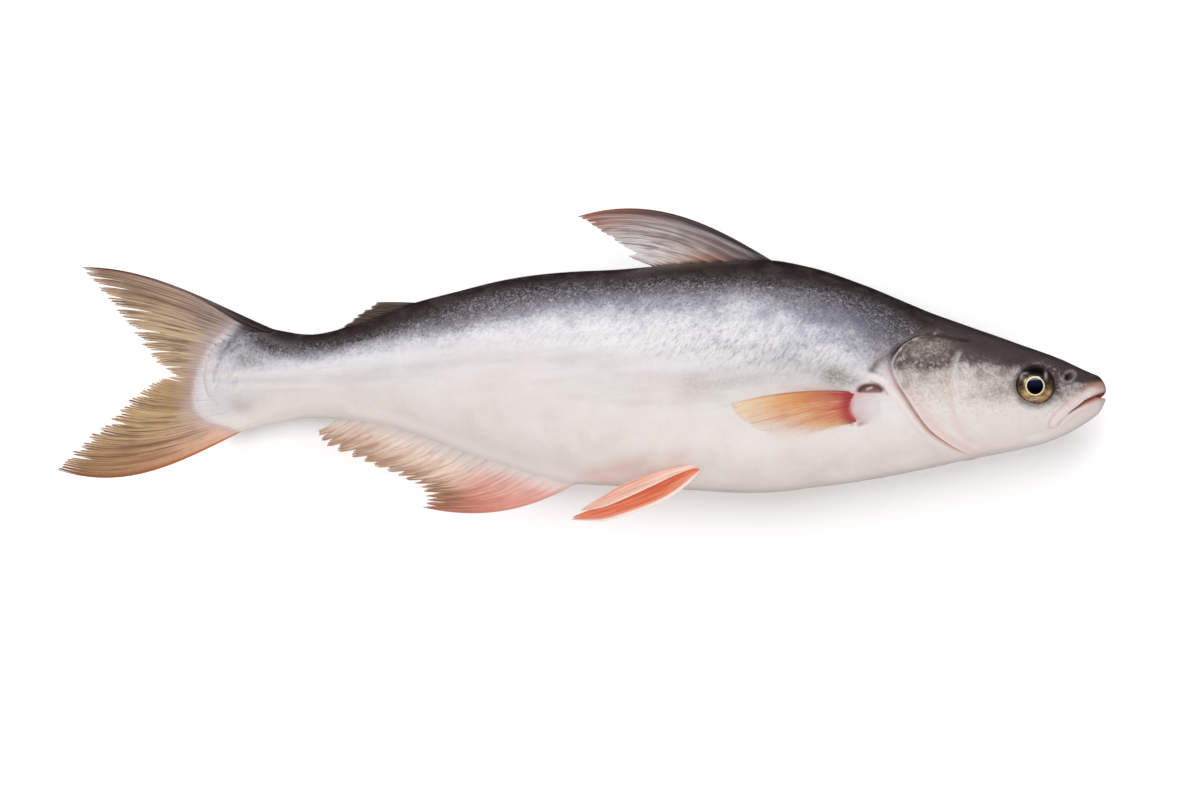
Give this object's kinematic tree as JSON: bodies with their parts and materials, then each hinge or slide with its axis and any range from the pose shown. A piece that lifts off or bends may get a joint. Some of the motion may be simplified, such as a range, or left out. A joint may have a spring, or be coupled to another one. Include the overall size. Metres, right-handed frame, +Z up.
{
  "type": "whole raw pangasius",
  "caption": "Whole fresh pangasius catfish lying on its left flank, right flank up, with a forked tail, a tall back fin, a long vent fin and paired breast and belly fins.",
  "frame": {"origin": "centre of the bounding box's base, on the table that the fish lies on", "axes": "+X from the tail to the snout, +Y from the belly to the back, +Z up, through the right flank that shows"},
  "size_m": [0.4999, 0.1494, 0.0757],
  "materials": {
    "skin": "wet scaleless fish skin, dark slate on the back, silver on the flank, cream on the belly",
    "fin": "thin fin skin over bony rays, tan to orange",
    "eye": "clear wet cornea over a golden iris and a black pupil"
  },
  "bodies": {
    "root": {"fish": "skin", "eye_right": "eye", "eye_left": "eye"}
  },
  "joints": []
}
